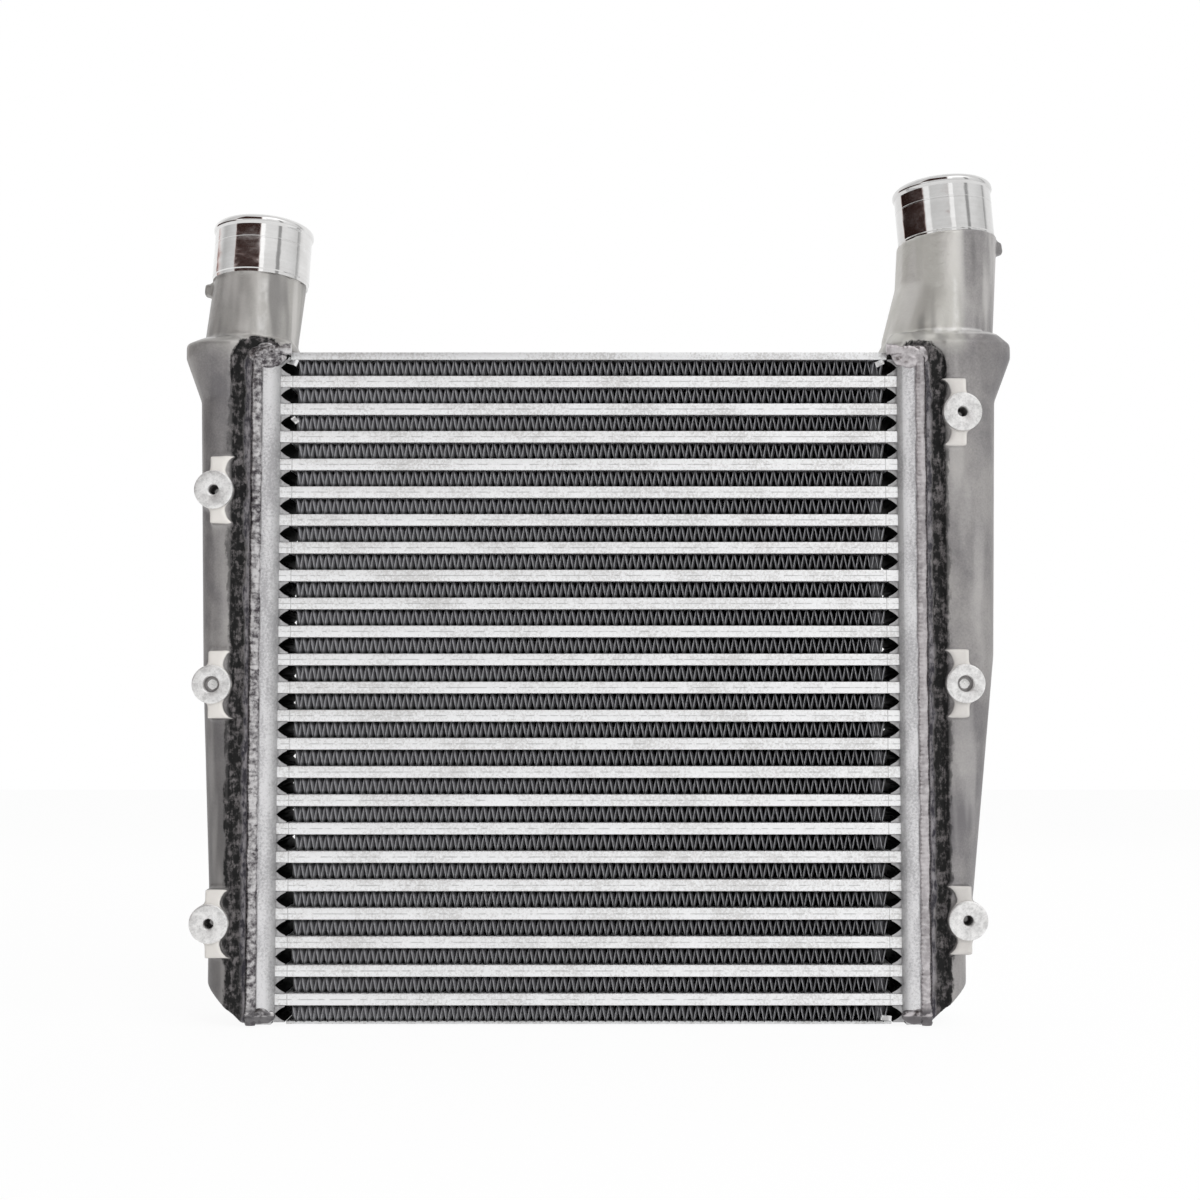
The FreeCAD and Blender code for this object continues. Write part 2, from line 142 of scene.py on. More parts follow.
def finish_with(piece, kind, **settings):
    take(piece)
    bpy.ops.object.modifier_add(type=kind)
    modifier = piece.modifiers[-1]
    for name, value in settings.items():
        setattr(modifier, name, value)
    bpy.ops.object.modifier_apply(modifier=modifier.name)


def smooth(piece, degrees):
    take(piece)
    bpy.ops.object.shade_smooth_by_angle(angle=math.radians(degrees))


def block(name, low, high):
    clear_selection()
    centre = (Vector(low) + Vector(high)) / 2
    size = Vector(high) - Vector(low)
    bpy.ops.mesh.primitive_cube_add(size=1, location=centre, scale=size)
    piece = bpy.context.object
    piece.name = name
    settle(piece)
    return piece


def copied(piece, name):
    twin = bpy.data.objects.new(name, piece.data.copy())
    bpy.context.scene.collection.objects.link(twin)
    return twin


def moved(piece, by):
    piece.location = by
    settle(piece)


def lathed(name, profile, segments):
    # A ring drawn up the profile, as on a lathe; the profile is (radius, height) pairs.
    clear_selection()
    radius, height = profile[0]
    bpy.ops.mesh.primitive_circle_add(vertices=segments, radius=radius, location=(0, 0, height))
    piece = bpy.context.object
    piece.name = name
    settle(piece)
    bpy.ops.object.mode_set(mode="EDIT")
    bpy.ops.mesh.select_all(action="SELECT")
    for next_radius, next_height in profile[1:]:
        bpy.ops.mesh.extrude_region_move(TRANSFORM_OT_translate={"value": (0, 0, next_height - height)})
        factor = next_radius / radius
        if abs(factor - 1) > 1e-9:
            bpy.ops.transform.resize(value=(factor, factor, 1), center_override=(0, 0, next_height))
        radius, height = next_radius, next_height
    bpy.ops.mesh.select_all(action="SELECT")
    bpy.ops.mesh.remove_doubles(threshold=1e-6)
    bpy.ops.mesh.select_all(action="SELECT")
    bpy.ops.mesh.normals_make_consistent(inside=False)
    end_edit()
    return piece


# Shader maths

class Value:
    """One output of a shader tree. Plain sums on values add the Math nodes."""

    def __init__(self, tree, socket=None):
        self.tree = tree
        self.socket = socket

    def add(self, kind, settings, inputs, output=0):
        node = self.tree.nodes.new(kind)
        stops = settings.pop("stops", None)
        for name, value in settings.items():
            setattr(node, name, value)
        if stops:
            ramp = node.color_ramp
            while len(ramp.elements) < len(stops):
                ramp.elements.new(0.5)
            for element, (place, tint) in zip(ramp.elements, stops):
                element.position = place
                element.color = tint
        for name, value in inputs.items():
            target = node.inputs[name]
            if isinstance(value, Value):
                self.tree.links.new(value.socket, target)
            else:
                target.default_value = value
        return Value(self.tree, node.outputs[output])

    def sum(self, operation, *parts):
        return self.add("ShaderNodeMath", {"operation": operation}, dict(enumerate(parts)))

    def __add__(self, other):
        return self.sum("ADD", self, other)

    def __radd__(self, other):
        return self.sum("ADD", other, self)

    def __sub__(self, other):
        return self.sum("SUBTRACT", self, other)

    def __rsub__(self, other):
        return self.sum("SUBTRACT", other, self)

    def __mul__(self, other):
        return self.sum("MULTIPLY", self, other)

    def __rmul__(self, other):
        return self.sum("MULTIPLY", other, self)

    def __truediv__(self, other):
        return self.sum("DIVIDE", self, other)

    def __abs__(self):
        return self.sum("ABSOLUTE", self)

    def above(self, low, high):
        # Nought below low and one above high, turning softly between them.
        return self.add("ShaderNodeMapRange", {"interpolation_type": "SMOOTHSTEP"},
                        {"Value": self, "From Min": low, "From Max": high})

    def between(self, low, high, soft):
        return self.above(low - soft, low + soft) * (1 - self.above(high - soft, high + soft))

    def axis(self, name):
        return self.add("ShaderNodeSeparateXYZ", {}, {0: self}, name)

    def noise(self, scale, detail=3.0, roughness=0.5, output="Fac"):
        return self.add("ShaderNodeTexNoise", {}, {"Vector": self, "Scale": scale, "Detail": detail,
                                                   "Roughness": roughness}, output)

    def stretched(self, scale, location=(0, 0, 0), rotation=(0, 0, 0)):
        return self.add("ShaderNodeMapping", {}, {"Vector": self, "Scale": scale, "Location": location,
                                                  "Rotation": rotation})

    def tint(self, low, high):
        # A colour between two others, by this value.
        return self.add("ShaderNodeMix", {"data_type": "RGBA"}, {0: self, 6: low, 7: high}, 2)

    def bump(self, strength, distance, under=None):
        inputs = {"Height": self, "Strength": strength, "Distance": distance}
        if under is not None:
            inputs["Normal"] = under
        return self.add("ShaderNodeBump", {}, inputs)


def grey(level, warm=0.0):
    return (level * (1 + warm), level, level * (1 - warm), 1.0)


class Finish:
    """A material under way: its tree, its main shader and the places on the piece."""

    def __init__(self, name, metallic, roughness, colour):
        self.material = bpy.data.materials.new(name)
        self.material.use_nodes = True
        self.tree = self.material.node_tree
        self.shader = self.tree.nodes["Principled BSDF"]
        self.shader.inputs["Metallic"].default_value = metallic
        self.shader.inputs["Roughness"].default_value = roughness
        self.shader.inputs["Base Color"].default_value = colour
        here = Value(self.tree)
        self.place = here.add("ShaderNodeTexCoord", {}, {}, "Object")
        self.uv = here.add("ShaderNodeTexCoord", {}, {}, "UV")

    def feed(self, name, value):
        self.tree.links.new(value.socket, self.shader.inputs[name])


def mixed(mask, first, second):
    # One colour where the mask is nought and the other where it is one.
    return mask.add("ShaderNodeMix", {"data_type": "RGBA"}, {0: mask, 6: first, 7: second}, 2)


# Finishes

def from_seam(place, corner):
    # How far a point lies from the weld's line, which turns over the header plate at its corner height.
    out = abs(place.axis("X")) - seam
    rise = place.axis("Z") - corner
    rise = rise.sum("MAXIMUM", rise, 0.0)
    squares = out * out + rise * rise
    return squares.sum("SQRT", squares)


def on_land(place):
    # The tank's narrow faces beside the weld, front and back, and the shoulder over the header plate.
    y = abs(place.axis("Y"))
    face = y.above(0.0332, 0.0340) * (1 - y.above(0.0382, 0.0410))
    shoulder = place.axis("Z").above(0.4025, 0.4060) * y.above(0.017, 0.022)
    return face.sum("MAXIMUM", face, shoulder)


def cast_finish(side, corner, grey_to, black_to, neck_lightening, low_darkening, ridge, highlight_band, pale):
    # Sand-cast skin: clouded grey, sooty beside the weld, pale on the ribs' front faces.
    made = Finish(side + "_cast", 0.72, 0.5, grey(0.33))
    place = made.place
    cloud = place.noise(11, 3)
    blotch = place.noise(46, 4, 0.6)
    grain = place.noise(900, 2)
    pores = place.noise(320, 2, 0.7)
    streak = place.stretched((1, 1, 0.22)).noise(380, 4, 0.7)
    clod = place.noise(210, 4, 0.7)
    wander = place.noise(64, 3, 0.6)
    level = cloud * 0.5 + blotch * 0.35 + grain * 0.15
    dark_skin = (0.185, 0.177, 0.184, 1)
    light_skin = (0.395, 0.380, 0.370, 1)
    base = level.above(0.34, 0.66).tint(dark_skin, light_skin)
    out = abs(place.axis("X"))
    z = place.axis("Z")
    # The necks are lighter, more so where they face the core; the low end is darker.
    near, towards = neck_lightening
    outward = (out + (blotch - 0.5) * 0.006).above(0.2275, 0.2355)
    lighter_neck = z.above(0.405, 0.425) * (near + towards * (1 - outward))
    light_neck_tone = (0.62, 0.61, 0.57, 1)
    low_dark_tone = (0.075, 0.072, 0.074, 1)
    base = mixed(lighter_neck, base, light_neck_tone)
    base = mixed((1 - z.above(0.10, 0.27)) * low_darkening, base, low_dark_tone)
    # Broad upright streaks: metal that ran and was brushed, and painted facet light and shade; most on the
    # necks.
    facet_shade_and_brushing = place.stretched((1, 1, 0.14)).noise(58, 2, 0.55)
    neck = z.above(0.412, 0.428)
    facet_light_and_brushing_tone = (0.74, 0.72, 0.70, 1)
    facet_shade_and_brushing_tone = (0.11, 0.105, 0.108, 1)
    base = mixed(facet_shade_and_brushing.above(0.50, 0.66) * (0.22 + neck * 0.24), base, facet_light_and_brushing_tone)
    base = mixed((1 - facet_shade_and_brushing.above(0.34, 0.48)) * (0.24 + neck * 0.30), base, facet_shade_and_brushing_tone)
    # Painted highlights: streaks down the neck and a line on the ledge at its foot; the ribs have pale
    # skin.
    painted_streak_highlight = out.between(*highlight_band, 0.0016) * z.between(0.424, 0.461, 0.007)
    painted_streak_highlight = painted_streak_highlight * (streak * 0.25 + wander * 0.75).above(0.40, 0.62)
    base = mixed(painted_streak_highlight * 0.6, base, grey(0.80, 0.01))
    # Painted highlight along the ledge (ridge) at the neck's foot, as if lit from above.
    painted_ledge_highlight = z.between(*ridge, 0.0009) * out.above(0.2125, 0.2155) * wander.above(0.38, 0.5)
    base = mixed(painted_ledge_highlight * 0.6, base, grey(0.72, 0.01))
    rib_skin = 1 - place.axis("Y").above(-0.0419, -0.0409)
    pale_skin = (0.76, 0.735, 0.70, 1)
    base = mixed(rib_skin * (pale + blotch * 0.25), base, pale_skin)
    # Away from the bead the land is bare, tempered grey, sooty black and then as cast, with ragged edges.
    land = on_land(place)
    away = from_seam(place, corner)
    ragged = away + (streak - 0.5) * 0.005 + (clod - 0.5) * 0.003 + (wander - 0.5) * 0.007
    black = ragged.between(grey_to, black_to, 0.0009) * land
    stained = ragged.between(0.0024, grey_to, 0.0012) * land
    beside = away.between(0.0030, 0.0042, 0.0007) * land * (clod * 0.5 + streak * 0.5).above(0.40, 0.55)
    tempered = (streak * 0.6 + clod * 0.4).above(0.42, 0.60)
    tempered = tempered.tint((0.022, 0.020, 0.030, 1), (0.30, 0.285, 0.30, 1))
    charred = (streak * 0.4 + clod * 0.6).above(0.47, 0.64)
    charred = charred.tint(grey(0.003), (0.16, 0.148, 0.150, 1))
    burnt_line = (0.02, 0.014, 0.018, 1)
    base = mixed(stained * 0.9, base, tempered)
    base = mixed(black, base, charred)
    base = mixed(beside, base, burnt_line)
    made.feed("Base Color", base)
    soot = black.sum("MAXIMUM", black, beside)
    made.feed("Metallic", 0.72 - soot * 0.5 - rib_skin * 0.5)
    made.feed("Roughness", (blotch * 0.2 + 0.38 - neck * 0.07) * (1 - soot) + soot * 0.72)
    skin = grain * 0.35 + pores * 0.65
    lumps = (place.noise(70, 3) * 0.4 + place.noise(28, 2) * 0.6).bump(0.30, 0.0035)
    made.feed("Normal", (skin + streak * stained + clod * black * 2.0).bump(0.34, 0.0006, lumps))
    return made.material


def plate_finish():
    # Brazed sheet: near white, satin, with a fine speckle.
    made = Finish("plate_metal", 0.75, 0.42, grey(0.84))
    place = made.place
    speckle = place.noise(600, 3, 0.7)
    cloud = place.noise(28, 3)
    level = (speckle * 0.6 + cloud * 0.4).above(0.36, 0.56)
    made.feed("Base Color", level.tint(grey(0.58, 0.01), grey(0.84, -0.008)))
    made.feed("Roughness", 0.34 + speckle * 0.22)
    made.feed("Normal", speckle.bump(0.25, 0.0004))
    return made.material


def header_finish():
    # The header's sheet, painted black as shade in the pockets between the tubes, and stained along the
    # weld.
    made = Finish("header_metal", 0.75, 0.4, grey(0.6))
    place = made.place
    speckle = place.noise(650, 3, 0.7)
    cloud = place.stretched((1, 1, 0.3)).noise(90, 3)
    level = (speckle * 0.5 + cloud * 0.5).above(0.36, 0.60)
    x = abs(place.axis("X"))
    y = abs(place.axis("Y"))
    # Painted shade: the insides of the pockets between the tubes are painted black.
    inner = x.between(0.1835, 0.1925, 0.0002) * (1 - y.above(0.0312, 0.03195))
    # Painted shade over the flange's bend, darker towards the core.
    bend = 1 - x.above(0.1902, 0.1972)
    far = from_seam(place, 0.4060) + (cloud - 0.5) * 0.0012
    line = far.between(0.0020, 0.0032, 0.0006) * cloud.above(0.40, 0.52)
    weld_stain = (0.05, 0.04, 0.046, 1)
    metal = level.tint((0.45, 0.442, 0.455, 1), (0.78, 0.775, 0.785, 1))
    metal = mixed(bend * 0.55, metal, grey(0.20))
    metal = mixed(line * 0.7, metal, weld_stain)
    made.feed("Base Color", mixed(inner, metal, grey(0.003)))
    made.feed("Roughness", 0.32 + speckle * 0.22 + inner * 0.45)
    made.feed("Normal", speckle.bump(0.25, 0.0004))
    return made.material


def tube_finish():
    # The tubes' round noses, with the fine line of the rolled seam at half height.
    made = Finish("tube_metal", 0.7, 0.42, grey(0.8))
    place = made.place
    speckle = place.noise(700, 3, 0.7)
    cloud = place.noise(28, 3)
    level = (speckle * 0.6 + cloud * 0.4).above(0.36, 0.56)
    middle = core_bottom + fin_height + tube_height / 2
    turns = (place.axis("Z") - (middle - tube_pitch / 2)) / tube_pitch
    off = abs(turns.sum("FRACT", turns) - 0.5) * tube_pitch
    line = (1 - off.above(0.0002, 0.0005)) * place.noise(160, 3).above(0.42, 0.55)
    braze = abs(place.axis("X")).between(0.1828, 0.1834, 0.0002)
    line = line.sum("MAXIMUM", line, braze)
    metal = level.tint(grey(0.68, 0.01), grey(0.93, -0.006))
    made.feed("Base Color", mixed(line * 0.5, metal, grey(0.34)))
    made.feed("Roughness", 0.34 + speckle * 0.22)
    made.feed("Normal", speckle.bump(0.25, 0.0004))
    return made.material


def fin_finish():
    # Thin sheet, grey at the faces of the core and painted with shade inside it, mottled with dust.
    made = Finish("fin_sheet", 0.35, 0.8, grey(0.2))
    made.shader.inputs["Specular IOR Level"].default_value = 0.12
    place = made.place
    y = abs(place.axis("Y"))
    # Painted shade: only the band at each face of the core keeps its grey, and deeper in it is painted
    # dark.
    outer = y.above(0.0205, 0.0245)
    rows = (place.axis("Z") - (core_bottom + fin_height / 2)) / tube_pitch + 0.5
    off = abs(rows.sum("FRACT", rows) - 0.5) * tube_pitch
    # Painted shade near the tubes: each fin row is lighter at its middle and darker where it meets the
    # tubes.
    painted_mid_row_light = 1 - off.above(0.0016, 0.0042)
    # Painted shade on the fins' front edges, to tone down the light that falls straight on them.
    edge = y.above(0.03105, 0.03120)
    dust = place.noise(260, 3)
    face = outer * (0.36 + painted_mid_row_light * 0.64) * (1 - edge * 0.50)
    # Painted light on the deeper louvres, more of it towards the right end of the core.
    deeper = painted_mid_row_light * y.above(0.006, 0.020) * (0.34 + place.axis("X").above(-0.02, 0.19) * 0.55)
    level = (face + deeper) * (0.60 + dust * 0.8)
    made.feed("Base Color", level.tint(grey(0.003), (0.46, 0.46, 0.478, 1)))
    made.feed("Roughness", 0.65 + dust * 0.3)
    return made.material


def weld_finish():
    # Rippled weld metal, dull grey where it has oxidised.
    made = Finish("weld_metal", 0.95, 0.34, grey(0.5))
    place = made.place
    blotch = place.noise(330, 4, 0.65)
    ripple = place.stretched((0.5, 0.5, 1)).noise(360, 2, 0.5)
    cloud = place.stretched((1, 1, 0.4)).noise(60, 2)
    level = (blotch * 0.45 + ripple * 0.3 + cloud * 0.25).above(0.40, 0.60)
    oxide = (0.075, 0.066, 0.074, 1)
    bright_weld = (0.66, 0.645, 0.65, 1)
    metal = level.tint(oxide, bright_weld)
    # The right-hand seam was wiped cleaner than the left one.
    wiped = place.axis("X").above(-0.01, 0.01) * (0.35 + cloud * 0.6)
    metal = mixed(wiped, metal, (0.58, 0.545, 0.555, 1))
    # The feet of the seams get painted shade under the flange, broken by a painted highlight arc across
    # them.
    z = place.axis("Z")
    low = 1 - z.above(0.0085, 0.0125)
    painted_arc_highlight = z.between(0.0062, 0.0086, 0.0006) * ripple.above(0.36, 0.5)
    metal = mixed(low * 0.85 * (1 - painted_arc_highlight), metal, (0.10, 0.095, 0.10, 1))
    made.feed("Base Color", metal)
    made.feed("Roughness", 0.20 + blotch * 0.24)
    made.feed("Normal", (blotch * 0.6 + ripple * 0.4).bump(0.45, 0.0007))
    return made.material


def polished_finish(name, foot, turn, painted_level):
    # Lathe-turned metal; its lines run round the spigot's own axis.
    made = Finish(name, 1.0, 0.08, grey(0.8))
    placed = made.place.stretched((1, 1, 1), foot, turn)
    up = placed.axis("Z")
    lines = made.place.add("ShaderNodeCombineXYZ", {}, {"Z": up * 2600.0})
    groove = lines.noise(1.0, 3, 0.7)
    wide = made.place.add("ShaderNodeCombineXYZ", {}, {"Z": up * 420.0}).noise(1.0, 2)
    smear = made.place.noise(60, 4, 0.6)
    level = (smear * 0.7 + wide * 0.3).above(0.3, 0.7)
    # The level given for each side is painted light and shade.
    made.feed("Base Color", level.tint(grey(painted_level * 0.84, 0.01), grey(painted_level, 0.005)))
    made.feed("Roughness", 0.045 + groove * 0.05 + smear.above(0.45, 0.75) * 0.09)
    uneven = made.place.noise(95, 2).bump(0.10, 0.0012)
    made.feed("Normal", groove.bump(0.04, 0.0001, uneven))
    return made.material


def turned_finish():
    # Faced metal on the bosses: fine rings round each hole, laid out by the piece's own UV map.
    made = Finish("turned_boss", 0.85, 0.34, grey(0.85))
    u = made.uv.axis("X")
    v = made.uv.axis("Y")
    squares = u * u + v * v
    radius = squares.sum("SQRT", squares)
    rings = made.place.add("ShaderNodeCombineXYZ", {}, {"X": radius * 3000.0}).noise(1.0, 2, 0.6)
    smear = made.place.noise(240, 3)
    speck = made.place.noise(900, 2, 0.7)
    level = (rings * 0.4 + smear * 0.3 + speck * 0.3).above(0.36, 0.60)
    made.feed("Base Color", level.tint(grey(0.56, 0.01), grey(0.90, 0.008)))
    made.feed("Roughness", 0.30 + rings * 0.2)
    made.feed("Normal", rings.bump(0.15, 0.0002))
    return made.material


def floor_finish():
    # White ground, nearly all glow where it is looked at or mirrored, so that it stays white.
    made = Finish("floor", 0.0, 0.9, grey(0.92))
    here = made.place
    seen = here.add("ShaderNodeLightPath", {}, {}, "Is Camera Ray")
    mirrored = here.add("ShaderNodeLightPath", {}, {}, "Is Glossy Ray")
    passed = here.add("ShaderNodeLightPath", {}, {}, "Is Transmission Ray")
    glow = here.add("ShaderNodeEmission", {}, {"Color": (1, 1, 1, 1), "Strength": 1.0})
    main = Value(made.tree, made.shader.outputs[0])
    both = here.add("ShaderNodeMixShader", {}, {0: (seen + mirrored + passed) * 0.93, 1: main, 2: glow})
    out = made.tree.nodes["Material Output"]
    made.tree.links.new(both.socket, out.inputs["Surface"])
    return made.material


def dress(piece, material, node=None):
    # A finished piece's material and slot. All pieces ride on the one body, and most stand for a node.
    piece.data.materials.clear()
    piece.data.materials.append(material)
    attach(piece, "root")
    if node:
        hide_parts(node)


# Pieces

def rounded_tube(name):
    # A flat tube with rounded edges and open ends.
    edge_radius = 0.0007
    low = (-tube_end, -core_half_depth, core_bottom + fin_height)
    high = (tube_end, core_half_depth, core_bottom + fin_height + tube_height)
    piece = block(name, low, high)
    start_edit(piece)
    pick_faces(piece, lambda centre, normal: abs(normal.x) > 0.9)
    bpy.ops.mesh.delete(type="ONLY_FACE")
    pick_edges(piece, lambda a, b: abs(a.x - b.x) > 0.1)
    bpy.ops.mesh.bevel(offset=edge_radius, segments=3, affect="EDGES")
    end_edit()
    finish_with(piece, "SOLIDIFY", thickness=tube_wall, offset=-1.0)
    smooth(piece, 40)
    return piece


def shift_points(piece, chosen, by):
    shape = bmesh.from_edit_mesh(piece.data)
    bpy.ops.mesh.select_all(action="DESELECT")
    for v in shape.verts:
        v.select_set(v.index in chosen)
    bmesh.update_edit_mesh(piece.data)
    bpy.ops.transform.translate(value=by)


def folded_fin(name):
    # A grid folded into a sharp wave, waved again from front to back and given the sheet's thickness.
    waves = 75
    run = 0.3614
    depth = 0.0626
    rows = 6
    sheet = 0.00015
    crest = 0.0004
    sway = 0.0025
    sway_turn = 150.0
    clear_selection()
    bpy.ops.mesh.primitive_grid_add(x_subdivisions=4 * waves, y_subdivisions=rows, size=1,
                                    location=(0, 0, core_bottom + sheet))
    piece = bpy.context.object
    piece.name = name
    piece.scale = (run, depth, 1)
    settle(piece)
    step = run / (4 * waves)
    top = fin_height - 2 * sheet
    shifts = [(crest, top), (-crest, top), (crest, 0), (-crest, 0)]
    start_edit(piece)
    shape = bmesh.from_edit_mesh(piece.data)
    columns = [set(), set(), set(), set()]
    lines = {}
    for v in shape.verts:
        columns[int(round((v.co.x + run / 2) / step)) % 4].add(v.index)
        lines.setdefault(round(v.co.y, 5), set()).add(v.index)
    for members, (across, up) in zip(columns, shifts):
        shift_points(piece, members, (across, 0, up))
    for y, members in lines.items():
        shift_points(piece, members, (sway * math.sin((y + depth / 2) * sway_turn), 0, 0))
    end_edit()
    finish_with(piece, "SOLIDIFY", thickness=sheet, offset=0.0)
    return piece


def pressed_end(name, sign, face):
    # The last fold of a fin strip, pressed flat a little way behind the face of the core.
    width = 0.0062
    height = 0.0094
    middle = 0.1781
    setback = 0.0236
    clear_selection()
    bpy.ops.mesh.primitive_grid_add(x_subdivisions=4, y_subdivisions=3, size=1, location=(0, 0, 0))
    piece = bpy.context.object
    piece.name = name
    piece.scale = (width, height, 1)
    piece.rotation_euler = (math.radians(90), 0, 0)
    piece.location = (sign * middle, face * setback, core_bottom + fin_height / 2)
    settle(piece)
    start_edit(piece)
    shape = bmesh.from_edit_mesh(piece.data)
    ridge = {v.index for v in shape.verts if abs(abs(v.co.x) - middle + width / 4) < 1e-4}
    outer_edge = {v.index for v in shape.verts if abs(abs(v.co.x) - middle - width / 2) < 1e-4}
    shift_points(piece, ridge, (0, face * 0.0011, 0))
    shift_points(piece, outer_edge, (0, -face * 0.0018, 0))
    end_edit()
    finish_with(piece, "SOLIDIFY", thickness=0.00035, offset=0.0)
    return piece


def curled_end(name, place, size, turn):
    # A fin's loose end, bent out of its row and caught by the light.
    bend = 0.0012
    clear_selection()
    bpy.ops.mesh.primitive_grid_add(x_subdivisions=6, y_subdivisions=4, size=1, location=(0, 0, 0))
    piece = bpy.context.object
    piece.name = name
    piece.scale = (size[0], size[1], 1)
    settle(piece)
    start_edit(piece)
    shape = bmesh.from_edit_mesh(piece.data)
    lines = {}
    for v in shape.verts:
        lines.setdefault(round(v.co.x, 6), set()).add(v.index)
    for x, members in lines.items():
        shift_points(piece, members, (0, 0, bend * math.sin(x / size[0] * 5.2)))
    end_edit()
    finish_with(piece, "SOLIDIFY", thickness=0.0003, offset=0.0)
    piece.rotation_euler = [math.radians(angle) for angle in turn]
    piece.location = place
    settle(piece)
    smooth(piece, 60)
    return piece


def cad_copy(node, name):
    piece = bpy.data.objects.new(name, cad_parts[node].data.copy())
    bpy.context.scene.collection.objects.link(piece)
    start_edit(piece)
    bpy.ops.mesh.select_all(action="SELECT")
    bpy.ops.mesh.remove_doubles(threshold=2e-6)
    end_edit()
    return piece


def spigot_axis(side):
    lean_in, lean_back, sign = spigot_leans[side]
    across = -sign * math.tan(math.radians(lean_in))
    back = math.tan(math.radians(lean_back))
    return Vector((across, back, 1)).normalized()


def cast_tank(side):
    # The casting with its machined ends cut off, then softened as sand leaves it.
    boss_cut = -0.0424
    grain = 0.0013
    most_faces = 55000
    piece = cad_copy(side + "_tank", side + "_casting")
    axis = spigot_axis(side)
    start_edit(piece)
    bpy.ops.mesh.select_all(action="SELECT")
    bpy.ops.mesh.bisect(plane_co=spigot_feet[side], plane_no=axis, use_fill=True, clear_outer=True)
    bpy.ops.mesh.select_all(action="SELECT")
    bpy.ops.mesh.bisect(plane_co=(0, boss_cut, 0), plane_no=(0, -1, 0), use_fill=True, clear_outer=True)
    bpy.ops.mesh.select_all(action="SELECT")
    bpy.ops.mesh.normals_make_consistent(inside=False)
    end_edit()
    finish_with(piece, "REMESH", mode="VOXEL", voxel_size=grain)
    finish_with(piece, "SMOOTH", factor=0.5, iterations=4)
    faces = len(piece.data.polygons)
    finish_with(piece, "DECIMATE", ratio=min(1.0, most_faces / faces))
    take(piece)
    bpy.ops.object.shade_smooth()
    return piece


def turned_spigot(side):
    # The machined spigot: a sleeve let into the neck, the hose's seat and the rounded bead at the rim.
    crest = 0.0316
    sleeve = spigot_bore + 0.001
    sleeve_end = -0.006
    line_floor = spigot_radius - 0.00018
    relief = spigot_radius - 0.0005
    rim = [(spigot_bore, 0.0354), (spigot_bore + 0.0002, 0.0362), (spigot_bore + 0.0008, 0.0366)]
    bead = [(0.0276, 0.0367), (0.0288, 0.0364), (0.0298, 0.0358), (0.0306, 0.0351), (0.0313, 0.0341),
            (crest, 0.0330), (crest, 0.0316), (0.0313, 0.0309), (0.03085, 0.0304), (spigot_radius, 0.0300)]
    tool_line = [(spigot_radius, 0.0222), (line_floor, 0.0220),
                 (line_floor, 0.0214), (spigot_radius, 0.0212)]
    foot = [(spigot_radius, 0.0014), (relief, 0.0008), (relief, -0.0010), (sleeve, -0.0012)]
    profile = [(spigot_bore, sleeve_end)] + rim + bead + tool_line + foot
    profile += [(sleeve, sleeve_end), (spigot_bore, sleeve_end)]
    piece = lathed(side + "_spigot", profile, 96)
    axis = spigot_axis(side)
    piece.rotation_mode = "QUATERNION"
    piece.rotation_quaternion = Vector((0, 0, 1)).rotation_difference(axis)
    piece.location = spigot_feet[side]
    settle(piece)
    smooth(piece, 28)
    return piece


def turned_boss(name, x, z, kind):
    # A cup let into the casting: the faced ring and the wall and floor of its hole.
    outer = 0.0118
    wall = 0.0008
    ring = 0.0027
    pinhole = 0.0002
    hole = 0.0031 if kind == "screw" else 0.0049
    depth = 0.0145 if kind == "screw" else 0.0058
    profile = [(pinhole, depth + wall), (hole + wall, depth + wall), (hole + wall, ring),
               (outer, ring), (outer, 0.0006), (outer - 0.0005, 0.0001), (outer - 0.0009, 0.0),
               (hole + wall, 0.0), (hole + 0.0003, 0.0003), (hole, 0.0008)]
    if kind == "screw":
        thread_turns = 10
        thread_pitch = 0.00125
        thread_depth = 0.00045
        for i in range(thread_turns):
            foot = 0.0012 + i * thread_pitch
            profile += [(hole + thread_depth, foot + 0.0005), (hole, foot + 0.0011)]
    profile += [(hole, depth - 0.0004), (hole * 0.9, depth), (pinhole, depth)]
    piece = lathed(name, profile + [profile[0]], 48)
    piece.rotation_euler = (math.radians(-90), 0, 0)
    piece.location = (x, boss_face, z)
    settle(piece)
    smooth(piece, 35)
    layer = piece.data.uv_layers.new(name="turning")
    for loop in piece.data.loops:
        point = piece.data.vertices[loop.vertex_index].co
        layer.data[loop.index].uv = (point.x - x, point.z - z)
    return piece


